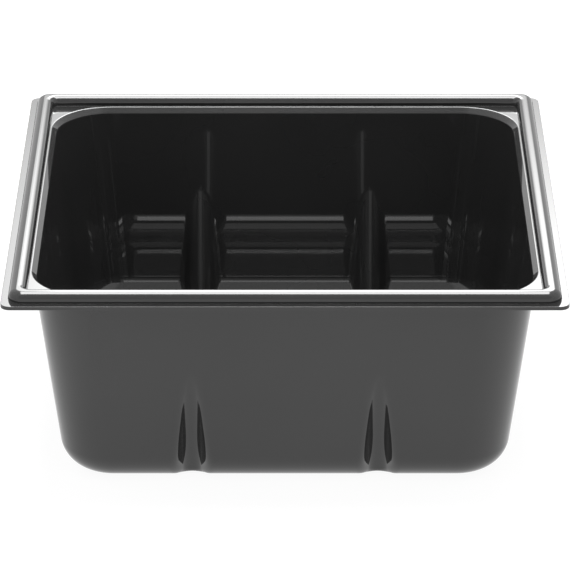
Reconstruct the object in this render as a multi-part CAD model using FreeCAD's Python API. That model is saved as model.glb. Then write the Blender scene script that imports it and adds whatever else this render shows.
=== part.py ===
import FreeCAD, Part
import math
import os

# Square one-piece tub of an espresso knock box, moulded from a single plastic sheet.
# Lengths are in millimetres.
# Frame: origin at the centre of the underside of the floor, +Z up, -Y is the front.
# X and Y run along the sides of the square rim.

# ---- overall size ------------------------------------------------------------
RIM_WIDTH = 200.0            # outside width of the flat flange, the same along X and Y
FLANGE_TOP_Z = 79.0          # height of the flange's upper face above the table
SHEET = 1.4                  # wall thickness, the same everywhere
DRAFT_DEG = 7.0              # lean of all four walls, wider at the top

# ---- rim ---------------------------------------------------------------------
FLANGE_CORNER_R = 3.5        # plan radius of the flange's corners
FLANGE_EDGE_R = 0.15         # softened edges of the flange
BEAD_OUTER_HALF = 97.5       # half width to the bead's outer foot
BEAD_INNER_HALF = 91.1       # half width to the bead's inner foot
BEAD_HEIGHT = 3.7            # crest of the bead above the flange
BEAD_OUTER_CORNER_R = 5.2    # plan radius of the bead's outer corners
BEAD_INNER_CORNER_R = 2.2    # plan radius of the bead's inner corners
BEAD_OUTER_CREST_R = 3.1     # rounding of the bead's outer upper edge
BEAD_INNER_CREST_R = 2.9     # rounding of the bead's inner upper edge
BEAD_FOOT_R = 0.1            # small hollow where the bead stands on the flange

# ---- ledge -------------------------------------------------------------------
# A narrow flat ledge lies inside the bead. A 45 degree chamfer leads from it to the walls.
LEDGE_HALF = 90.6            # half width to the ledge's inner edge, where the chamfer starts
LEDGE_EDGE_R = 0.75          # rounding between ledge and chamfer
CHAMFER_FOOT_R = 0.8         # rounding between chamfer and wall
UNDER_LEDGE_R = 2.4          # the same corner on the underside, one round

# ---- basin -------------------------------------------------------------------
BASIN_HALF = 88.95           # half width inside the walls, if they ran up to the flange's top
BASIN_TOP_CORNER_R = 21.0    # plan radius of the basin's corners at the same height
BASIN_FLOOR_CORNER_R = 18.0  # plan radius of the basin's corners at the floor
FLOOR_R = 11.2               # rounding between the walls and the floor, inside
UNDER_FLOOR_R = 12.2         # the same rounding outside

# ---- pillars -----------------------------------------------------------------
# Two in the front wall and two in the back wall.
# Each is a groove outside and a pillar inside, with a round ridge and two sloping flanks.
PILLAR_X = 33.7              # distance of each pillar from the middle plane
PILLAR_TIP_Z = 46.0          # height where a groove runs out in the wall
PILLAR_LEAN_DEG = 16.6       # lean of a pillar; it leans more than the wall does
GROOVE_R = 4.0               # radius at the bottom of the groove, outside
FLANK_DEG = 57.0             # angle between a flank and the wall
GROOVE_BLEND_R = 4.4         # blend between groove and wall, outside
PILLAR_REACH = 26.0          # how far a cutting prism reaches out through the wall
PILLAR_LENGTH = 140.0        # long enough to pass through floor and wall

# ---- derived sizes -----------------------------------------------------------
RIM_HALF = RIM_WIDTH / 2.0
DRAFT_SLOPE = math.tan(math.radians(DRAFT_DEG))
WALL_SHIFT = SHEET / math.cos(math.radians(DRAFT_DEG))
FLANGE_UNDER_Z = FLANGE_TOP_Z - SHEET
CORNER_GROWTH = (BASIN_TOP_CORNER_R - BASIN_FLOOR_CORNER_R) / (FLANGE_TOP_Z - SHEET)
CHAMFER_DROP = (LEDGE_HALF - BASIN_HALF) / (1.0 - DRAFT_SLOPE)
TOP_MARGIN = 0.3             # how far the basin's air rises above the ledge, past the sheet
HOLLOW_MARGIN = 1.0          # how far the cut for the bead's hollow starts below the flange


def rounded_square(half, corner_r, z):
    """Closed wire: a square with round corners, centred on the Z axis."""
    run = half - corner_r
    diagonal = corner_r * math.sqrt(0.5)
    edges = []
    for sign_x, sign_y in ((1, 1), (-1, 1), (-1, -1), (1, -1)):
        on_side = FreeCAD.Vector(sign_x * half, sign_y * run, z)
        middle = FreeCAD.Vector(sign_x * (run + diagonal), sign_y * (run + diagonal), z)
        on_end = FreeCAD.Vector(sign_x * run, sign_y * half, z)
        mirrored_side = FreeCAD.Vector(sign_x * half, -sign_y * run, z)
        mirrored_end = FreeCAD.Vector(-sign_x * run, sign_y * half, z)
        edges.append(Part.Arc(on_side, middle, on_end).toShape())
        if sign_x == sign_y:
            edges.append(Part.makeLine(on_end, mirrored_end))
        else:
            edges.append(Part.makeLine(on_side, mirrored_side))
    return Part.Wire(Part.sortEdges(edges)[0])


def rounded_block(half, corner_r, z_low, z_high):
    """Upright block with a rounded square plan."""
    face = Part.Face(rounded_square(half, corner_r, z_low))
    return face.extrude(FreeCAD.Vector(0, 0, z_high - z_low))


def wall_wire(z, wall_offset, corner_offset):
    """Outline of the drafted walls at one height. The offsets are 0 inside the basin."""
    half = BASIN_HALF + wall_offset - (FLANGE_TOP_Z - z) * DRAFT_SLOPE
    corner_r = BASIN_FLOOR_CORNER_R + corner_offset + (z - SHEET) * CORNER_GROWTH
    return rounded_square(half, corner_r, z)


def edges_at_height(shape, z):
    """Edges of a shape that lie wholly at one height."""
    found = []
    for edge in shape.Edges:
        box = edge.BoundBox
        if abs(box.ZMin - z) < 1e-4 and abs(box.ZMax - z) < 1e-4:
            found.append(edge)
    return found


def pillar_direction(side):
    """Unit vector up along a pillar. side is -1 for the front wall, +1 for the back wall."""
    lean = math.radians(PILLAR_LEAN_DEG)
    return FreeCAD.Vector(0, side * math.sin(lean), math.cos(lean))


def pillar_prism(side, x, skin):
    """Leaning prism of one pillar: a round ridge and two flat flanks.

    skin is 0 for the groove outside and the sheet thickness for the pillar inside.
    """
    flank = math.radians(FLANK_DEG)
    ridge_r = GROOVE_R + skin
    ridge_depth = -skin
    round_x = ridge_r * math.sin(flank)
    round_depth = ridge_depth + ridge_r * (1.0 - math.cos(flank))
    outer_x = round_x + (PILLAR_REACH - round_depth) / math.tan(flank)
    left_out = FreeCAD.Vector(-outer_x, PILLAR_REACH, 0)
    left_in = FreeCAD.Vector(-round_x, round_depth, 0)
    ridge = FreeCAD.Vector(0, ridge_depth, 0)
    right_in = FreeCAD.Vector(round_x, round_depth, 0)
    right_out = FreeCAD.Vector(outer_x, PILLAR_REACH, 0)
    wire = Part.Wire([Part.makeLine(left_out, left_in),
                      Part.Arc(left_in, ridge, right_in).toShape(),
                      Part.makeLine(right_in, right_out),
                      Part.makeLine(right_out, left_out)])
    prism = Part.Face(wire).extrude(FreeCAD.Vector(0, 0, PILLAR_LENGTH))
    prism.translate(FreeCAD.Vector(0, 0, -PILLAR_LENGTH / 2.0))
    if side < 0:
        prism.rotate(FreeCAD.Vector(0, 0, 0), FreeCAD.Vector(0, 0, 1), 180.0)
    prism.rotate(FreeCAD.Vector(0, 0, 0), FreeCAD.Vector(1, 0, 0), -side * PILLAR_LEAN_DEG)
    tip_y = BASIN_HALF + WALL_SHIFT - (FLANGE_TOP_Z - PILLAR_TIP_Z) * DRAFT_SLOPE
    prism.translate(FreeCAD.Vector(x, side * tip_y, PILLAR_TIP_Z))
    return prism


def four_prisms(skin):
    """The four leaning prisms, two at the front and two at the back."""
    prisms = []
    for side in (-1, 1):
        for x in (-PILLAR_X, PILLAR_X):
            prisms.append(pillar_prism(side, x, skin))
    return prisms


def is_pillar_face(face):
    """True for a round ridge or a flat flank of a pillar."""
    surface = face.Surface
    for side in (-1, 1):
        direction = pillar_direction(side)
        if isinstance(surface, Part.Cylinder) and surface.Axis.cross(direction).Length < 1e-4:
            return True
        if isinstance(surface, Part.Plane):
            sideways = abs(surface.Axis.x) > 0.5
            if sideways and abs(surface.Axis.dot(direction)) < 1e-4:
                return True
    return False


def pillar_outline(shape):
    """Edges where pillar faces meet the walls and the floor of a shape."""
    uses = {}
    for face in shape.Faces:
        if is_pillar_face(face):
            for edge in face.Edges:
                uses.setdefault(edge.hashCode(), []).append(edge)
    return [edges[0] for edges in uses.values() if len(edges) == 1]


def basin_air():
    """The space inside the basin, from the floor's upper face up through the chamfer."""
    foot_z = FLANGE_TOP_Z - CHAMFER_DROP
    foot_corner_r = BASIN_TOP_CORNER_R - CHAMFER_DROP * CORNER_GROWTH
    mouth = rounded_square(LEDGE_HALF + TOP_MARGIN,
                           foot_corner_r + CHAMFER_DROP + TOP_MARGIN,
                           FLANGE_TOP_Z + TOP_MARGIN)
    air = Part.makeLoft([wall_wire(SHEET, 0.0, 0.0), wall_wire(foot_z, 0.0, 0.0), mouth],
                        True, True)
    air = air.makeFillet(CHAMFER_FOOT_R, edges_at_height(air, foot_z))
    air = air.makeFillet(FLOOR_R, edges_at_height(air, SHEET))
    air = air.cut(four_prisms(SHEET))
    return air.makeFillet(GROOVE_BLEND_R - SHEET, pillar_outline(air))


def basin_outside():
    """Solid bounded by the outside of the walls and the underside of the floor."""
    body = Part.makeLoft([wall_wire(0.0, WALL_SHIFT, SHEET),
                          wall_wire(FLANGE_TOP_Z, WALL_SHIFT, SHEET)], True, True)
    body = body.makeFillet(UNDER_FLOOR_R, edges_at_height(body, 0.0))
    body = body.cut(four_prisms(0.0))
    return body.makeFillet(GROOVE_BLEND_R, pillar_outline(body))


def edges_of_loop(shape, reach_x, z):
    """Edges of the loop at one height whose outermost point along X is at a given distance."""
    found = []
    for wire in [wire for face in shape.Faces for wire in face.Wires]:
        box = wire.BoundBox
        level = abs(box.ZMin - z) < 1e-4 and abs(box.ZMax - z) < 1e-4
        if level and abs(box.XMax - reach_x) < 1e-3:
            found.extend(wire.Edges)
    return found


def bead_ring(skin, z_low):
    """Square ring with both upper edges rounded over.

    skin is 0 for the bead itself and the sheet thickness for the hollow inside it.
    """
    outer_half = BEAD_OUTER_HALF - skin
    inner_half = BEAD_INNER_HALF + skin
    z_high = FLANGE_TOP_Z + BEAD_HEIGHT - skin
    ring = rounded_block(outer_half, BEAD_OUTER_CORNER_R - skin, z_low, z_high)
    ring = ring.cut(rounded_block(inner_half, BEAD_INNER_CORNER_R + skin, z_low, z_high))
    ring = ring.makeFillet(BEAD_OUTER_CREST_R - skin, edges_of_loop(ring, outer_half, z_high))
    return ring.makeFillet(BEAD_INNER_CREST_R - skin, edges_of_loop(ring, inner_half, z_high))


def flange_plate():
    """Flat plate of the flange, still without its opening."""
    plate = rounded_block(RIM_HALF, FLANGE_CORNER_R, FLANGE_UNDER_Z, FLANGE_TOP_Z)
    upper = edges_at_height(plate, FLANGE_TOP_Z)
    lower = edges_at_height(plate, FLANGE_UNDER_Z)
    return plate.makeFillet(FLANGE_EDGE_R, upper + lower)


def make_tub():
    """The whole tub: basin, chamfer, ledge, hollow bead and flange in one sheet."""
    body = flange_plate().fuse([bead_ring(0.0, FLANGE_UNDER_Z), basin_outside()])
    body = body.removeSplitter()
    under_half = BASIN_HALF + WALL_SHIFT - SHEET * DRAFT_SLOPE
    body = body.makeFillet(UNDER_LEDGE_R, edges_of_loop(body, under_half, FLANGE_UNDER_Z))
    body = body.cut(basin_air())
    body = body.makeFillet(LEDGE_EDGE_R, edges_of_loop(body, LEDGE_HALF, FLANGE_TOP_Z))
    feet = edges_of_loop(body, BEAD_OUTER_HALF, FLANGE_TOP_Z)
    feet = feet + edges_of_loop(body, BEAD_INNER_HALF, FLANGE_TOP_Z)
    body = body.makeFillet(BEAD_FOOT_R, feet)
    return body.cut(bead_ring(SHEET, FLANGE_UNDER_Z - HOLLOW_MARGIN))


def save(name, shape):
    """Write one named piece as a STEP file."""
    shape.exportStep(os.path.join("parts", name + ".step"))


os.makedirs("parts", exist_ok=True)
tub = make_tub()
save("tub", tub)
print("tub", len(tub.Solids), "solid", round(tub.Volume / 1000.0, 1), "cm3", tub.isValid())
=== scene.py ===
import math
import bpy
from mathutils import Matrix, Vector


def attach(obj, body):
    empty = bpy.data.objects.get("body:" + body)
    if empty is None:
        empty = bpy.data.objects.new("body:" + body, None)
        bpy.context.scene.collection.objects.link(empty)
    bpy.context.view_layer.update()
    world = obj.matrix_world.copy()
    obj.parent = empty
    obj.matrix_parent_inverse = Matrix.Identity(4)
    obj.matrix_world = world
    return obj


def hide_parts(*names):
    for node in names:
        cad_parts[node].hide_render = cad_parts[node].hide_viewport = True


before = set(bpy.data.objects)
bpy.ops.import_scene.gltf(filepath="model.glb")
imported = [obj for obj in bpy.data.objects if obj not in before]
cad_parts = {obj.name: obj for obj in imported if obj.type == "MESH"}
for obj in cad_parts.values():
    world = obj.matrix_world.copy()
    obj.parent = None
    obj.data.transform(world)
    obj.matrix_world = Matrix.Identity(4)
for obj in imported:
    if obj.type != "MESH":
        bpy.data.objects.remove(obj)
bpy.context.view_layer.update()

# Looks of the espresso knock box tub. Lengths of the shape are in millimetres and are turned
# into metres when the mesh is written. The frame is the CAD frame: origin at the centre of the
# floor's underside, +Z up, -Y the front.
#
# The tub is drawn as two skins, upper and lower, each a stack of rings. A ring is a rounded
# rectangle. Where the pillars stand, the wall and floor follow a blended section instead.

MM = 0.001

# ---- rim ----------------------------------------------------------------------
SHEET = 1.4
FLANGE_TOP_Z = 79.0
FLANGE_UNDER_Z = FLANGE_TOP_Z - SHEET
RIM_HALF = 100.0
FLANGE_CORNER_R = 3.5
FLANGE_EDGE_R = 0.15
BEAD_OUTER_HALF = 97.5
BEAD_INNER_HALF = 91.1
BEAD_HEIGHT = 3.7
BEAD_OUTER_CORNER_R = 5.2
BEAD_INNER_CORNER_R = 2.2
BEAD_OUTER_CREST_R = 3.1
BEAD_INNER_CREST_R = 2.9
BEAD_FOOT_R = 0.1

# ---- ledge --------------------------------------------------------------------
LEDGE_HALF = 90.6
LEDGE_EDGE_R = 0.75
CHAMFER_FOOT_R = 0.8
UNDER_LEDGE_R = 2.4

# ---- basin --------------------------------------------------------------------
CHAMFER_ANGLE = math.radians(45.0)
FLOOR_R = 11.2
UNDER_FLOOR_R = 12.2
DRAFT = math.radians(7.0)
SLOPE = math.tan(DRAFT)
WALL_SHIFT = SHEET / math.cos(DRAFT)
BASIN_HALF = 88.95
BASIN_TOP_CORNER_R = 21.0
BASIN_FLOOR_CORNER_R = 18.0
CORNER_GROWTH = (BASIN_TOP_CORNER_R - BASIN_FLOOR_CORNER_R) / (FLANGE_TOP_Z - SHEET)
CHAMFER_DROP = (LEDGE_HALF - BASIN_HALF) / (1.0 - SLOPE)

# ---- pillars ------------------------------------------------------------------
PILLAR_X = 33.7
PILLAR_TIP_Z = 46.0
LEAN = math.radians(16.6)
GROOVE_R = 4.0
FLANK = math.radians(57.0)
GROOVE_BLEND_R = 4.4
PILLAR_HALF_WIDTH = 18.0     # reach of a pillar and its blend to either side
TRACE_TOP_Z = 62.0           # the section is traced from here, well above the pillar's tip
ANCHOR_HALF = 61.0           # ring on the flat floor where the traced section ends
ANCHOR_CORNER_R = 4.0

# ---- mesh density -------------------------------------------------------------
PILLAR_COLUMNS = 56          # columns across one pillar
GAP_COLUMNS = 8              # columns between the two pillars of a wall
END_COLUMNS = 6              # columns from a pillar to the corner
SIDE_COLUMNS = 24            # columns along a wall without pillars
CORNER_COLUMNS = 16          # columns round a corner
MIDDLE_DENSITY = 0.62        # share of even spacing across a pillar; the rest crowds its middle
SMALL_STEPS = 4              # rings round the sharpest roundings
LEDGE_STEPS = 5              # rings round the ledge's edge
ROUND_STEPS = 8              # rings round the middle-sized roundings
OUTER_CREST_STEPS = 20       # rings over the bead's outer crest
INNER_CREST_STEPS = 24       # rings over the bead's inner crest
WALL_ROWS = 34               # rows down a wall, over its floor rounding and on to the anchor ring
ROUND_ROWS = 30
FLOOR_ROWS = 10
TRACE_STEP = 0.1             # step of the section trace, mm
TRACE_CORRECTIONS = 3        # times a traced point is pulled back onto the surface

# ---- plastic, in metres and plain factors ---------------------------------------
PLASTIC_IOR = 1.59
PLASTIC_TONE = 0.0175        # the plastic's own colour, nearly black
TONE_SPREAD = 0.25           # how far the mottling lightens and darkens it
PLASTIC_ROUGHNESS = 0.0
MOTTLE_SCALE = 18.0
HAIRLINE_SCALE = 900.0
HAIRLINE_STRETCH = 0.03      # scale along a hairline, against 1 across it
HAIRLINE_CUT = (0.66, 0.74)  # noise values between which a hairline fades in
HAIRLINE_DEPTH = 0.0000004
HAIRLINE_LEAST = 0.06        # strength of the hairlines away from the rubbed floor
RUBBED_CUT_Z = (0.005, 0.0015)  # heights between which rubbing fades in, towards the floor
RUBBED_CUT = (0.35, 0.7)     # mottling values between which rubbing fades in
HAZE_ROUGHNESS = 0.05        # dulling of the rubbed floor
WEAR_ROUGHNESS = 0.12        # dulling inside a hairline
RIPPLE_SCALE = 14.0
RIPPLE_HEIGHT = 0.000004     # gentle waves left by moulding

# ---- studio, in metres, degrees and radiance -------------------------------------
ROOM_LEVEL = 1.0             # brightness of the room all round
FRONT_LEVEL = 0.68           # brightness above the front
FRONT_CUT = (0.86, 0.92)     # closeness to that direction between which it fades in
FLOOR_HALF = 4.0
FLOOR_GAP = -0.0002          # the floor lies this far under the tub
FLOOR_GLOW = 0.93
FLOOR_TONE = (0.10, 0.12)    # darkest and lightest of the floor's own colour
FLOOR_MOTTLE_SCALE = 6.0
PANEL_DISTANCE = 0.9         # from the point the panels face to each panel
PANEL_WIDTH = 0.8
PANEL_AIM = (0.0, 0.0, 0.05)
GLOSSY_BOUNCES = 24

# ---- camera ---------------------------------------------------------------------
CAMERA_PLACE = (0.0, -1.38951, 0.664384)
CAMERA_DIP = 24.1057         # degrees the camera looks down
CAMERA_LENS = 255.3
CAMERA_SENSOR = 36.0
CAMERA_CLIP = 0.01


class Skin:
    """One side of the sheet in the basin: how far it is offset, its floor and its blends."""

    def __init__(self, wall_offset, corner_offset, floor_z, floor_r, groove_skin, blend_r, facing):
        self.wall_offset = wall_offset
        self.corner_offset = corner_offset
        self.floor_z = floor_z
        self.floor_r = floor_r
        self.groove_skin = groove_skin
        self.blend_r = blend_r
        self.facing = facing

    def wall_half(self, z):
        """Half width of the wall at a height."""
        return BASIN_HALF + self.wall_offset - (FLANGE_TOP_Z - z) * SLOPE

    def corner_r(self, z):
        """Plan radius of the wall's corners at a height."""
        return BASIN_FLOOR_CORNER_R + self.corner_offset + (z - SHEET) * CORNER_GROWTH


UPPER = Skin(0.0, 0.0, SHEET, FLOOR_R, SHEET, GROOVE_BLEND_R - SHEET, -1.0)
LOWER = Skin(WALL_SHIFT, SHEET, 0.0, UNDER_FLOOR_R, 0.0, GROOVE_BLEND_R, 1.0)


# ---- columns round the ring ------------------------------------------------------
# A column is a place on the ring. On a corner it is ("corner", angle, signs of x and y). On a
# wall it is (wall, kind, value): kind "x" is a position in mm, "end" and "y" are fractions.

STRAIGHT_FIX = PILLAR_X + PILLAR_HALF_WIDTH


def pillar_wall_stops():
    """Positions of the columns along the front and back walls."""
    stops = []
    half_count = PILLAR_COLUMNS // 2
    inner = PILLAR_X - PILLAR_HALF_WIDTH
    for k in range(GAP_COLUMNS):
        stops.append(-inner + 2.0 * inner * (k + 0.5) / GAP_COLUMNS)
    for k in range(-half_count, half_count + 1):
        part = k / half_count
        local = PILLAR_HALF_WIDTH * (MIDDLE_DENSITY * part + (1.0 - MIDDLE_DENSITY) * part ** 3)
        stops.append(PILLAR_X + local)
        stops.append(-PILLAR_X + local)
    return sorted(stops)


def make_columns():
    """All columns, anticlockwise from the front end of the right-hand wall."""
    pillar_stops = [("x", s) for s in pillar_wall_stops()]
    ends = [k / END_COLUMNS for k in range(1, END_COLUMNS)]
    front = [("end", -e) for e in reversed(ends)] + pillar_stops + [("end", e) for e in ends]
    side = [("y", -1.0 + 2.0 * k / SIDE_COLUMNS) for k in range(1, SIDE_COLUMNS)]
    angles = [math.radians(90.0 * k / CORNER_COLUMNS) for k in range(CORNER_COLUMNS + 1)]
    columns = []
    columns += [("right", kind, value) for kind, value in side]
    columns += [("corner", a, (1, 1)) for a in angles]
    columns += [("back", kind, -value) for kind, value in front]
    columns += [("corner", a + math.pi / 2, (-1, 1)) for a in angles]
    columns += [("left", kind, -value) for kind, value in side]
    columns += [("corner", a + math.pi, (-1, -1)) for a in angles]
    columns += [("front", kind, value) for kind, value in front]
    columns += [("corner", a + 1.5 * math.pi, (1, -1)) for a in angles]
    return columns


def column_frame(column):
    """Outward direction of a column."""
    where = column[0]
    if where == "corner":
        return math.cos(column[1]), math.sin(column[1])
    return {"right": (1.0, 0.0), "left": (-1.0, 0.0), "back": (0.0, 1.0), "front": (0.0, -1.0)}[where]


def wall_lean(column):
    """Run-out of the wall per millimetre of height, in the direction of a column."""
    if column[0] != "corner":
        return SLOPE
    out = column_frame(column)
    return (SLOPE - CORNER_GROWTH) * (abs(out[0]) + abs(out[1])) + CORNER_GROWTH


def ring_point(column, half, corner_r):
    """Point of a rounded square in a column."""
    run = half - corner_r
    where = column[0]
    if where == "corner":
        sx, sy = column[2]
        return sx * run + corner_r * math.cos(column[1]), sy * run + corner_r * math.sin(column[1])
    kind, value = column[1], column[2]
    if where in ("right", "left"):
        return (half if where == "right" else -half), value * run
    if kind == "end":
        along = math.copysign(STRAIGHT_FIX + (run - STRAIGHT_FIX) * abs(value), value)
    else:
        along = value
    return along, (half if where == "back" else -half)


# ---- section through a pillar ------------------------------------------------------

def round_over(a, grad_a, b, grad_b, radius):
    """Larger of two distances, with the edge between them rounded by a rolling ball."""
    cosine = grad_a.dot(grad_b)
    a_in = a + radius
    b_in = b + radius
    over_a = a_in - b_in * cosine
    over_b = b_in - a_in * cosine
    spread = 1.0 - cosine * cosine
    if over_a > 0.0 and over_b > 0.0 and spread > 1e-6:
        reach = math.sqrt((a_in * over_a + b_in * over_b) / spread)
        grad = (grad_a * over_a + grad_b * over_b) / (spread * reach)
        return reach - radius, grad
    if a > b:
        return a, grad_a
    return b, grad_b


def pillar_field(skin, point):
    """Signed distance to the blended surface near one pillar, and its gradient.

    The point is (across the pillar, out from the middle plane, up).
    """
    wall_grad = Vector((0.0, math.cos(DRAFT), -math.sin(DRAFT)))
    wall_y = skin.wall_half(point.z)
    wall = (point.y - wall_y) * math.cos(DRAFT)
    floor_grad = Vector((0.0, 0.0, -1.0))
    block, block_grad = round_over(wall, wall_grad, skin.floor_z - point.z, floor_grad, skin.floor_r)
    tip_y = LOWER.wall_half(PILLAR_TIP_Z)
    depth_axis = Vector((0.0, math.cos(LEAN), -math.sin(LEAN)))
    ridge_r = GROOVE_R + skin.groove_skin
    depth = (point - Vector((0.0, tip_y, PILLAR_TIP_Z))).dot(depth_axis) - GROOVE_R
    across = abs(point.x)
    side = math.copysign(1.0, point.x)
    from_centre = math.hypot(across, depth)
    if math.atan2(across, -depth) < FLANK:
        out_across, out_depth = across / from_centre, depth / from_centre
        inside = ridge_r - from_centre
    else:
        out_across, out_depth = math.sin(FLANK), -math.cos(FLANK)
        inside = ridge_r - (across * out_across + depth * out_depth)
    prism_grad = Vector((-side * out_across, 0.0, 0.0)) - depth_axis * out_depth
    return round_over(block, block_grad, inside, prism_grad, skin.blend_r)


def trace_section(skin, across):
    """Section at one distance from the pillar's middle: points from the wall to the floor."""
    point = Vector((across, skin.wall_half(TRACE_TOP_Z), TRACE_TOP_Z))
    points = [point.copy()]
    while point.y > ANCHOR_HALF:
        _, grad = pillar_field(skin, point)
        flat = Vector((0.0, grad.y, grad.z)).normalized()
        point = point + Vector((0.0, flat.z, -flat.y)) * TRACE_STEP
        for _ in range(TRACE_CORRECTIONS):
            value, grad = pillar_field(skin, point)
            in_plane = grad.y * grad.y + grad.z * grad.z
            step = value / in_plane
            point = point - Vector((0.0, grad.y * step, grad.z * step))
        points.append(point.copy())
    last, before = points[-1], points[-2]
    part = (ANCHOR_HALF - before.y) / (last.y - before.y)
    points[-1] = before + (last - before) * part
    return points


def resample(skin, points, parts):
    """Points and normals at fractions of a traced section's length."""
    lengths = [0.0]
    for before, after in zip(points, points[1:]):
        lengths.append(lengths[-1] + (after - before).length)
    found = []
    index = 0
    for part in parts:
        wanted = part * lengths[-1]
        while index < len(points) - 2 and lengths[index + 1] < wanted:
            index += 1
        span = lengths[index + 1] - lengths[index]
        share = min(1.0, (wanted - lengths[index]) / span)
        point = points[index].lerp(points[index + 1], share)
        for _ in range(TRACE_CORRECTIONS - 1):
            value, grad = pillar_field(skin, point)
            in_plane = grad.y * grad.y + grad.z * grad.z
            if in_plane > 1e-9 and 0.0 < part < 1.0:
                step = value / in_plane
                point = point - Vector((0.0, grad.y * step, grad.z * step))
        found.append((point, grad.normalized()))
    return found


# ---- rows ---------------------------------------------------------------------
# A row gives, for every column, a point and the outward normals before and after it, so that
# sharp edges keep their crease.

def arc(start, end, count):
    """Angles from start to end in degrees, in radians, both ends included."""
    return [math.radians(start + (end - start) * k / count) for k in range(count + 1)]


class Rows:
    """Stack of rings being collected for one skin."""

    def __init__(self, columns):
        self.columns = columns
        self.points = []
        self.before = []
        self.after = []

    def ring(self, half, corner_r, z, normal, after=None):
        """Add a rounded square with one normal direction (outwards, up) for all columns.

        Where the ring is a crease, after is the direction on its far side.
        """
        row, first, second = [], [], []
        after = after or normal
        for column in self.columns:
            out = column_frame(column)
            x, y = ring_point(column, half, corner_r)
            row.append(Vector((x, y, z)))
            first.append(Vector((out[0] * normal[0], out[1] * normal[0], normal[1])))
            second.append(Vector((out[0] * after[0], out[1] * after[0], after[1])))
        self.add(row, first, second)

    def add(self, row, first, second=None):
        self.points.append(row)
        self.before.append(first)
        self.after.append(second or first)

    def round_edge(self, half, corner_r, centre_out, centre_z, radius, angles, hollow=1.0):
        """Add the rings of a rounded edge. Angles run from outward (0) to up (90)."""
        for angle in angles:
            out = centre_out + radius * math.cos(angle)
            offset = out - half
            self.ring(out, corner_r + offset, centre_z + radius * math.sin(angle),
                      (hollow * math.cos(angle), hollow * math.sin(angle)))


def flange_edge(rows):
    """Rings round the flange's outer edge, from its underside to its upper face."""
    centre = RIM_HALF - FLANGE_EDGE_R
    rows.round_edge(RIM_HALF, FLANGE_CORNER_R, centre, FLANGE_UNDER_Z + FLANGE_EDGE_R,
                    FLANGE_EDGE_R, arc(-90, 0, SMALL_STEPS))
    rows.round_edge(RIM_HALF, FLANGE_CORNER_R, centre, FLANGE_TOP_Z - FLANGE_EDGE_R,
                    FLANGE_EDGE_R, arc(0, 90, SMALL_STEPS))


def bead_rows(rows):
    """Rings over the bead, from the flange to the ledge."""
    foot_z = FLANGE_TOP_Z + BEAD_FOOT_R
    top_z = FLANGE_TOP_Z + BEAD_HEIGHT
    rows.round_edge(BEAD_OUTER_HALF, BEAD_OUTER_CORNER_R, BEAD_OUTER_HALF + BEAD_FOOT_R, foot_z,
                    BEAD_FOOT_R, arc(270, 180, SMALL_STEPS), hollow=-1.0)
    rows.round_edge(BEAD_OUTER_HALF, BEAD_OUTER_CORNER_R, BEAD_OUTER_HALF - BEAD_OUTER_CREST_R,
                    top_z - BEAD_OUTER_CREST_R, BEAD_OUTER_CREST_R, arc(0, 90, OUTER_CREST_STEPS))
    rows.round_edge(BEAD_INNER_HALF, BEAD_INNER_CORNER_R, BEAD_INNER_HALF + BEAD_INNER_CREST_R,
                    top_z - BEAD_INNER_CREST_R, BEAD_INNER_CREST_R, arc(90, 180, INNER_CREST_STEPS))
    rows.round_edge(BEAD_INNER_HALF, BEAD_INNER_CORNER_R, BEAD_INNER_HALF - BEAD_FOOT_R, foot_z,
                    BEAD_FOOT_R, arc(0, -90, SMALL_STEPS), hollow=-1.0)


def hollow_rows(rows):
    """Rings inside the bead's hollow on the underside, from the ledge out to the flange."""
    inner = BEAD_INNER_HALF + SHEET
    inner_corner = BEAD_INNER_CORNER_R + SHEET
    inner_crest = BEAD_INNER_CREST_R - SHEET
    outer = BEAD_OUTER_HALF - SHEET
    outer_corner = BEAD_OUTER_CORNER_R - SHEET
    outer_crest = BEAD_OUTER_CREST_R - SHEET
    top_z = FLANGE_TOP_Z + BEAD_HEIGHT - SHEET
    rows.ring(inner, inner_corner, FLANGE_UNDER_Z, (0.0, -1.0), (1.0, 0.0))
    rows.round_edge(inner, inner_corner, inner + inner_crest, top_z - inner_crest, inner_crest,
                    arc(180, 90, ROUND_STEPS), hollow=-1.0)
    rows.round_edge(outer, outer_corner, outer - outer_crest, top_z - outer_crest, outer_crest,
                    arc(90, 0, ROUND_STEPS), hollow=-1.0)
    rows.ring(outer, outer_corner, FLANGE_UNDER_Z, (-1.0, 0.0), (0.0, -1.0))


def wall_point(skin, column, z):
    """Point of the wall at a height."""
    x, y = ring_point(column, skin.wall_half(z), skin.corner_r(z))
    return Vector((x, y, z))


def wall_rounding(rows, skin, touch_z, radius, end_angle, count):
    """Rings of a rounding that starts on the wall and ends at a given slope, from the top down.

    touch_z gives the height where the rounding meets the wall, for the lean of a column.
    """
    for k in range(count + 1):
        row, normals = [], []
        for column in rows.columns:
            out = column_frame(column)
            low = math.atan(wall_lean(column))
            wall_normal = Vector((out[0] * math.cos(low), out[1] * math.cos(low), -math.sin(low)))
            centre = wall_point(skin, column, touch_z(low)) + wall_normal * radius
            angle = end_angle + (low - end_angle) * k / count
            ray = Vector((-out[0] * math.cos(angle), -out[1] * math.cos(angle), math.sin(angle)))
            row.append(centre + ray * radius)
            normals.append(ray * -skin.facing)
        rows.add(row, normals)


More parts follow.
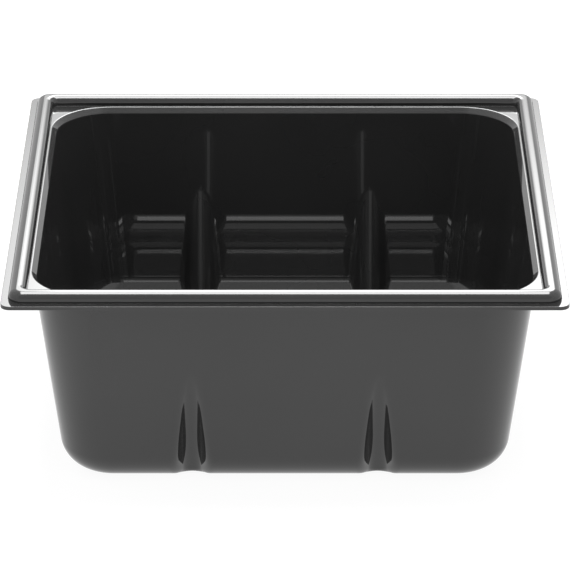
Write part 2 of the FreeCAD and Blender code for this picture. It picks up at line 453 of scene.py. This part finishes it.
def chamfer_rows(rows):
    """Rings from the ledge's edge over the chamfer into the wall."""
    corner = BASIN_TOP_CORNER_R - CHAMFER_DROP * CORNER_GROWTH + CHAMFER_DROP
    rows.round_edge(LEDGE_HALF, corner, LEDGE_HALF + LEDGE_EDGE_R * math.tan(CHAMFER_ANGLE / 2.0),
                    FLANGE_TOP_Z - LEDGE_EDGE_R, LEDGE_EDGE_R, arc(90, 135, LEDGE_STEPS))
    foot_z = FLANGE_TOP_Z - CHAMFER_DROP

    def touch_z(low):
        return foot_z - CHAMFER_FOOT_R * math.tan((CHAMFER_ANGLE - low) / 2.0) * math.cos(low)

    wall_rounding(rows, UPPER, touch_z, CHAMFER_FOOT_R, CHAMFER_ANGLE, ROUND_STEPS)


def under_ledge_rows(rows):
    """Rings of the rounding between the flange's underside and the outside of the walls."""
    def touch_z(low):
        return FLANGE_UNDER_Z - UNDER_LEDGE_R * (1.0 - math.sin(low))

    wall_rounding(rows, LOWER, touch_z, UNDER_LEDGE_R, math.pi / 2.0, ROUND_STEPS)


# Shares of a plain section's length taken by the straight wall, the rounding and the floor.
WALL_LENGTH = (TRACE_TOP_Z - SHEET - UPPER.floor_r * (1.0 - math.sin(DRAFT))) / math.cos(DRAFT)
ROUND_LENGTH = UPPER.floor_r * (math.pi / 2 - DRAFT)
FLOOR_LENGTH = 8.9           # about the run of flat floor outside the anchor ring
WHOLE_LENGTH = WALL_LENGTH + ROUND_LENGTH + FLOOR_LENGTH
WALL_SHARE = WALL_LENGTH / WHOLE_LENGTH
ROUND_SHARE = ROUND_LENGTH / WHOLE_LENGTH


def plain_section(skin, column, parts):
    """Points and outward-of-basin normals down a wall without pillars, by fraction of length."""
    out = column_frame(column)
    low = math.atan(wall_lean(column))
    touch = wall_point(skin, column, skin.floor_z + skin.floor_r * (1.0 - math.sin(low)))
    top = wall_point(skin, column, TRACE_TOP_Z)
    wall_normal = Vector((out[0] * math.cos(low), out[1] * math.cos(low), -math.sin(low)))
    centre = touch - wall_normal * skin.floor_r
    anchor_x, anchor_y = ring_point(column, ANCHOR_HALF, ANCHOR_CORNER_R)
    anchor = Vector((anchor_x, anchor_y, skin.floor_z))
    foot = Vector((centre.x, centre.y, skin.floor_z))
    found = []
    for part in parts:
        if part <= WALL_SHARE:
            share = part / WALL_SHARE
            found.append((top.lerp(touch, share), wall_normal))
        elif part <= WALL_SHARE + ROUND_SHARE:
            share = (part - WALL_SHARE) / ROUND_SHARE
            angle = low + (math.pi / 2 - low) * share
            ray = Vector((out[0] * math.cos(angle), out[1] * math.cos(angle), -math.sin(angle)))
            found.append((centre + ray * skin.floor_r, ray))
        else:
            share = (part - WALL_SHARE - ROUND_SHARE) / (1.0 - WALL_SHARE - ROUND_SHARE)
            found.append((foot.lerp(anchor, share), Vector((0.0, 0.0, -1.0))))
    return found


def section_parts():
    """Fractions of a section's length at which the rows lie."""
    parts = [WALL_SHARE * k / WALL_ROWS for k in range(WALL_ROWS)]
    parts += [WALL_SHARE + ROUND_SHARE * k / ROUND_ROWS for k in range(ROUND_ROWS)]
    rest = 1.0 - WALL_SHARE - ROUND_SHARE
    parts += [WALL_SHARE + ROUND_SHARE + rest * k / FLOOR_ROWS for k in range(FLOOR_ROWS + 1)]
    return parts


def basin_rows(rows, skin):
    """Rows down the walls and over the floor rounding to the anchor ring."""
    parts = section_parts()
    sections = []
    cache = {}
    for column in rows.columns:
        where = column[0]
        if where in ("front", "back") and column[1] == "x":
            local = abs(column[2]) - PILLAR_X
            key = round(abs(local), 6)
            if key not in cache:
                cache[key] = resample(skin, trace_section(skin, abs(local)), parts)
            side = math.copysign(1.0, column[2])
            turn = 1.0 if where == "back" else -1.0
            flip = math.copysign(1.0, local) * side
            found = []
            for point, normal in cache[key]:
                place = Vector((column[2], turn * point.y, point.z))
                found.append((place, Vector((flip * normal.x, turn * normal.y, normal.z))))
            sections.append(found)
        else:
            sections.append(plain_section(skin, column, parts))
    for index in range(len(parts)):
        row = [found[index][0] for found in sections]
        normals = [found[index][1] * skin.facing for found in sections]
        rows.add(row, normals)


# ---- mesh ---------------------------------------------------------------------

def build_tub():
    """The columns, and the rings of the upper and the lower skin, each from its start to its end."""
    columns = make_columns()
    upper = Rows(columns)
    flange_edge(upper)
    bead_rows(upper)
    chamfer_rows(upper)
    basin_rows(upper, UPPER)
    lower = Rows(columns)
    basin_rows(lower, LOWER)
    lower.points.reverse()
    lower.before.reverse()
    lower.after.reverse()
    rounding = Rows(columns)
    under_ledge_rows(rounding)
    for row, normals in zip(reversed(rounding.points), reversed(rounding.before)):
        lower.add(row, normals)
    hollow_rows(lower)
    return columns, upper, lower


def write_mesh(columns, upper, lower):
    """Stitch both skins into one object."""
    vertices, faces, corner_normals = [], [], []
    count = len(columns)
    rings = lower.points + upper.points
    before = lower.before + upper.before
    after = lower.after + upper.after
    for ring in rings:
        vertices.extend(point * MM for point in ring)
    for r in range(len(rings) - 1):
        for c in range(count):
            d = (c + 1) % count
            a, b = r * count + c, r * count + d
            e, f = (r + 1) * count + d, (r + 1) * count + c
            faces.append((a, b, e, f))
            corner_normals += [after[r][c], after[r][d], before[r + 1][d], before[r + 1][c]]
    for ring_index, down in ((0, True), (len(rings) - 1, False)):
        fill_floor(vertices, faces, corner_normals, ring_index * count, columns, down)
    mesh = bpy.data.meshes.new("tub_shell")
    mesh.from_pydata(vertices, [], faces)
    mesh.update()
    for polygon in mesh.polygons:
        polygon.use_smooth = True
    mesh.normals_split_custom_set(corner_normals)
    obj = bpy.data.objects.new("tub_shell", mesh)
    bpy.context.scene.collection.objects.link(obj)
    return obj


def fill_floor(vertices, faces, corner_normals, first, columns, down):
    """Fill the anchor ring with a grid made by blending its four sides."""
    count = len(columns)
    half = CORNER_COLUMNS // 2
    right = SIDE_COLUMNS - 1
    across = len([c for c in columns if c[0] == "front"])
    corners = [right + half,
               right + 2 * half + 1 + across + half]
    corners.append(corners[1] + half + 1 + right + half)
    corners.append(corners[2] + half + 1 + across + half)
    back_right, back_left, front_left, front_right = corners

    def walk(start, end):
        steps = (end - start) % count
        return [(start + k) % count for k in range(steps + 1)]

    back = walk(back_right, back_left)[::-1]
    left = walk(back_left, front_left)[::-1]
    front = walk(front_left, front_right)
    right_side = walk(front_right, back_right)
    columns_n, rows_n = len(front) - 1, len(left) - 1

    def place(index):
        return vertices[first + index]

    grid = []
    for j in range(rows_n + 1):
        line = []
        for i in range(columns_n + 1):
            if j == 0:
                line.append(first + front[i])
            elif j == rows_n:
                line.append(first + back[i])
            elif i == 0:
                line.append(first + left[j])
            elif i == columns_n:
                line.append(first + right_side[j])
            else:
                u, v = i / columns_n, j / rows_n
                point = (place(front[i]) * (1 - v) + place(back[i]) * v
                         + place(left[j]) * (1 - u) + place(right_side[j]) * u
                         - place(front[0]) * (1 - u) * (1 - v) - place(front[-1]) * u * (1 - v)
                         - place(back[0]) * (1 - u) * v - place(back[-1]) * u * v)
                vertices.append(point)
                line.append(len(vertices) - 1)
        grid.append(line)
    normal = Vector((0.0, 0.0, -1.0 if down else 1.0))
    for j in range(rows_n):
        for i in range(columns_n):
            quad = [grid[j][i], grid[j][i + 1], grid[j + 1][i + 1], grid[j + 1][i]]
            faces.append(tuple(reversed(quad)) if down else tuple(quad))
            corner_normals += [normal] * 4


# ---- node helpers ---------------------------------------------------------------

def smooth_step(tree, value, start, end):
    """Node that rises smoothly from 0 to 1 between two values; start may lie above end."""
    node = tree.nodes.new("ShaderNodeMapRange")
    node.interpolation_type = "SMOOTHSTEP"
    rising = start < end
    node.inputs["From Min"].default_value = min(start, end)
    node.inputs["From Max"].default_value = max(start, end)
    node.inputs["To Min"].default_value = 0.0 if rising else 1.0
    node.inputs["To Max"].default_value = 1.0 if rising else 0.0
    tree.links.new(value, node.inputs["Value"])
    return node.outputs["Result"]


def spread(tree, value, low, high):
    """Node that maps 0..1 to low..high."""
    node = tree.nodes.new("ShaderNodeMapRange")
    node.inputs["To Min"].default_value = low
    node.inputs["To Max"].default_value = high
    tree.links.new(value, node.inputs["Value"])
    return node.outputs["Result"]


def grey(tree, tone, socket):
    """Feed one tone to all three channels of a colour socket."""
    color = tree.nodes.new("ShaderNodeCombineColor")
    for channel in color.inputs[:3]:
        tree.links.new(tone, channel)
    tree.links.new(color.outputs[0], socket)


def combine(tree, operation, first, second):
    """Math node joining two values; each is a socket or a number."""
    node = tree.nodes.new("ShaderNodeMath")
    node.operation = operation
    for socket, value in zip(node.inputs, (first, second)):
        if isinstance(value, (int, float)):
            socket.default_value = value
        else:
            tree.links.new(value, socket)
    return node.outputs[0]


def noise(tree, place, scale, detail, stretch=None):
    """Noise texture at a place, optionally stretched along the axes."""
    if stretch:
        mapping = tree.nodes.new("ShaderNodeMapping")
        mapping.inputs["Scale"].default_value = stretch
        tree.links.new(place, mapping.inputs["Vector"])
        place = mapping.outputs["Vector"]
    node = tree.nodes.new("ShaderNodeTexNoise")
    node.inputs["Scale"].default_value = scale
    node.inputs["Detail"].default_value = detail
    tree.links.new(place, node.inputs["Vector"])
    return node.outputs["Fac"]


# ---- finish of the plastic ------------------------------------------------------

def plastic():
    """Glossy black moulded plastic: faint mottling, flow ripple, hairlines and a rubbed floor."""
    material = bpy.data.materials.new("gloss_black_plastic")
    material.use_nodes = True
    tree = material.node_tree
    shader = tree.nodes["Principled BSDF"]
    shader.inputs["IOR"].default_value = PLASTIC_IOR
    place = tree.nodes.new("ShaderNodeTexCoord").outputs["Object"]

    mottle = noise(tree, place, MOTTLE_SCALE, detail=3.0)
    darkest = PLASTIC_TONE * (1.0 - TONE_SPREAD)
    lightest = PLASTIC_TONE * (1.0 + TONE_SPREAD)
    grey(tree, spread(tree, mottle, darkest, lightest), shader.inputs["Base Color"])

    # Hairlines run both ways. They are strongest where the floor is rubbed.
    lines_x = noise(tree, place, HAIRLINE_SCALE, detail=2.0, stretch=(HAIRLINE_STRETCH, 1.0, 1.0))
    lines_y = noise(tree, place, HAIRLINE_SCALE, detail=2.0, stretch=(1.0, HAIRLINE_STRETCH, 1.0))
    hairlines = smooth_step(tree, combine(tree, "MAXIMUM", lines_x, lines_y), *HAIRLINE_CUT)
    split = tree.nodes.new("ShaderNodeSeparateXYZ")
    tree.links.new(place, split.inputs[0])
    low_down = smooth_step(tree, split.outputs[2], *RUBBED_CUT_Z)
    rubbed = combine(tree, "MULTIPLY", low_down, smooth_step(tree, mottle, *RUBBED_CUT))
    wear = combine(tree, "MULTIPLY", hairlines, spread(tree, rubbed, HAIRLINE_LEAST, 1.0))
    haze = combine(tree, "MULTIPLY", rubbed, HAZE_ROUGHNESS)
    rough = combine(tree, "ADD", haze, combine(tree, "MULTIPLY", wear, WEAR_ROUGHNESS))
    tree.links.new(combine(tree, "ADD", rough, PLASTIC_ROUGHNESS), shader.inputs["Roughness"])

    ripple = tree.nodes.new("ShaderNodeBump")
    ripple.inputs["Strength"].default_value = 1.0
    ripple.inputs["Distance"].default_value = RIPPLE_HEIGHT
    tree.links.new(noise(tree, place, RIPPLE_SCALE, detail=1.0), ripple.inputs["Height"])
    grooves = tree.nodes.new("ShaderNodeBump")
    grooves.invert = True
    grooves.inputs["Strength"].default_value = 1.0
    grooves.inputs["Distance"].default_value = HAIRLINE_DEPTH
    tree.links.new(wear, grooves.inputs["Height"])
    tree.links.new(ripple.outputs["Normal"], grooves.inputs["Normal"])
    tree.links.new(grooves.outputs["Normal"], shader.inputs["Normal"])
    return material


# ---- studio -----------------------------------------------------------------------

def reflection_level(tree, first, deeper):
    """Radiance of a light as seen in a first reflection and in reflections of reflections."""
    depth = tree.nodes.new("ShaderNodeLightPath").outputs["Ray Depth"]
    later = combine(tree, "GREATER_THAN", depth, 1.5)   # depth 1 is a first reflection
    return spread(tree, later, first, deeper)


class Lobe:
    """Soft patch of light on a panel.

    It fades in between the two elevations of rise and out between those of fall. Sideways it
    is full up to the first of sides and gone at the second, about a centre moved by shift.
    """

    def __init__(self, rise, fall, sides, shift, first, deeper):
        self.rise = rise
        self.fall = fall
        self.sides = sides
        self.shift = shift
        self.first = first
        self.deeper = deeper

    def radiance(self, tree, across, up, reach):
        """Socket with the lobe's radiance at a place on the panel."""
        away = combine(tree, "ABSOLUTE", combine(tree, "SUBTRACT", across, self.shift), 0.0)
        low, full = [reach(angle) for angle in self.rise]
        still_full, high = [reach(angle) for angle in self.fall]
        value = smooth_step(tree, up, low, full)
        value = combine(tree, "MULTIPLY", value, smooth_step(tree, up, high, still_full))
        value = combine(tree, "MULTIPLY", value, smooth_step(tree, away, self.sides[1], self.sides[0]))
        level = reflection_level(tree, self.first, self.deeper)
        return combine(tree, "MULTIPLY", value, level)


def glow_material(name, reach, lobes):
    """Emission that is as bright as the room, plus the lobes."""
    material = bpy.data.materials.new(name)
    material.use_nodes = True
    tree = material.node_tree
    tree.nodes.clear()
    split = tree.nodes.new("ShaderNodeSeparateXYZ")
    tree.links.new(tree.nodes.new("ShaderNodeTexCoord").outputs["Object"], split.inputs[0])
    total = ROOM_LEVEL
    for lobe in lobes:
        value = lobe.radiance(tree, split.outputs[0], split.outputs[1], reach)
        total = combine(tree, "ADD", total, value)
    glow = tree.nodes.new("ShaderNodeEmission")
    tree.links.new(total, glow.inputs["Strength"])
    output = tree.nodes.new("ShaderNodeOutputMaterial")
    tree.links.new(glow.outputs[0], output.inputs[0])
    return material


def flat_sheet(name, left, right, low, high, material):
    """Rectangle in its own XY plane that is part of the studio."""
    mesh = bpy.data.meshes.new(name)
    corners = [(left, low, 0), (right, low, 0), (right, high, 0), (left, high, 0)]
    mesh.from_pydata(corners, [], [(0, 1, 2, 3)])
    mesh.materials.append(material)
    obj = bpy.data.objects.new(name, mesh)
    bpy.context.scene.collection.objects.link(obj)
    return obj


def glow_panel(name, elevation, low, high, lobes):
    """Soft-edged light panel facing the tub, unseen by the camera.

    Elevations are in degrees, seen from the tub: of the panel's middle, lower and upper edge.
    """
    def reach(angle):
        return PANEL_DISTANCE * math.tan(math.radians(angle - elevation))

    tilt = math.radians(elevation)
    direction = Vector((0.0, math.cos(tilt), math.sin(tilt)))
    up = Vector((0.0, -math.sin(tilt), math.cos(tilt)))
    across = up.cross(-direction)
    half = PANEL_WIDTH / 2.0
    obj = flat_sheet(name, -half, half, reach(low), reach(high), glow_material(name, reach, lobes))
    obj.location = Vector(PANEL_AIM) + direction * PANEL_DISTANCE
    obj.rotation_mode = "QUATERNION"
    obj.rotation_quaternion = Matrix((across, up, across.cross(up))).transposed().to_quaternion()
    obj.visible_camera = False


def white_room():
    """World that is white all round and a little darker above the front."""
    world = bpy.data.worlds.new("white_room")
    world.use_nodes = True
    tree = world.node_tree
    facing = tree.nodes.new("ShaderNodeVectorMath")
    facing.operation = "DOT_PRODUCT"
    facing.inputs[1].default_value = (0.0, -math.sqrt(0.5), math.sqrt(0.5))
    tree.links.new(tree.nodes.new("ShaderNodeTexCoord").outputs["Generated"], facing.inputs[0])
    shade = smooth_step(tree, facing.outputs["Value"], *FRONT_CUT)
    level = spread(tree, shade, ROOM_LEVEL, FRONT_LEVEL)
    background = tree.nodes["Background"]
    background.inputs["Color"].default_value = (1.0, 1.0, 1.0, 1.0)
    tree.links.new(level, background.inputs["Strength"])
    bpy.context.scene.world = world


def pale_floor():
    """Plain pale floor, lit from below its surface so that hardly any shadow shows."""
    material = bpy.data.materials.new("pale_floor")
    material.use_nodes = True
    tree = material.node_tree
    shader = tree.nodes["Principled BSDF"]
    place = tree.nodes.new("ShaderNodeTexCoord").outputs["Object"]
    tone = spread(tree, noise(tree, place, FLOOR_MOTTLE_SCALE, detail=2.0), *FLOOR_TONE)
    grey(tree, tone, shader.inputs["Base Color"])
    shader.inputs["Roughness"].default_value = 1.0
    shader.inputs["Specular IOR Level"].default_value = 0.0
    shader.inputs["Emission Color"].default_value = (1.0, 1.0, 1.0, 1.0)
    shader.inputs["Emission Strength"].default_value = FLOOR_GLOW
    obj = flat_sheet("floor", -FLOOR_HALF, FLOOR_HALF, -FLOOR_HALF, FLOOR_HALF, material)
    obj.location = (0.0, 0.0, FLOOR_GAP)


def studio():
    """White room, pale floor and the light panels."""
    scene = bpy.context.scene
    scene.view_settings.view_transform = "Standard"
    scene.cycles.max_bounces = GLOSSY_BOUNCES
    scene.cycles.glossy_bounces = GLOSSY_BOUNCES
    white_room()
    pale_floor()
    glow_panel("back_panel", elevation=35.0, low=5.0, high=60.0, lobes=[
        Lobe(rise=(30.0, 35.0), fall=(50.0, 54.0), sides=(0.11, 0.16), shift=0.0, first=11.0, deeper=22.0),
        Lobe(rise=(15.0, 33.0), fall=(40.0, 56.0), sides=(0.16, 0.30), shift=0.053, first=8.0, deeper=6.5),
        Lobe(rise=(50.0, 54.0), fall=(58.0, 60.0), sides=(0.16, 0.30), shift=0.02, first=10.0, deeper=0.0)])
    glow_panel("top_panel", elevation=86.5, low=62.0, high=104.0, lobes=[
        Lobe(rise=(65.0, 69.0), fall=(96.0, 102.0), sides=(0.2, 0.28), shift=0.0, first=13.0, deeper=6.4),
        Lobe(rise=(62.5, 63.0), fall=(65.0, 69.0), sides=(0.2, 0.28), shift=0.0, first=11.0, deeper=0.0)])


def camera():
    """Camera at the viewing angle of the product picture."""
    data = bpy.data.cameras.new("camera")
    data.sensor_width = CAMERA_SENSOR
    data.lens = CAMERA_LENS
    data.clip_start = CAMERA_CLIP
    obj = bpy.data.objects.new("camera", data)
    bpy.context.scene.collection.objects.link(obj)
    obj.location = CAMERA_PLACE
    obj.rotation_euler = (math.radians(90.0 - CAMERA_DIP), 0.0, 0.0)
    bpy.context.scene.camera = obj


shell = write_mesh(*build_tub())
shell.data.materials.append(plastic())
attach(shell, "root")
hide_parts("tub")
studio()
camera()
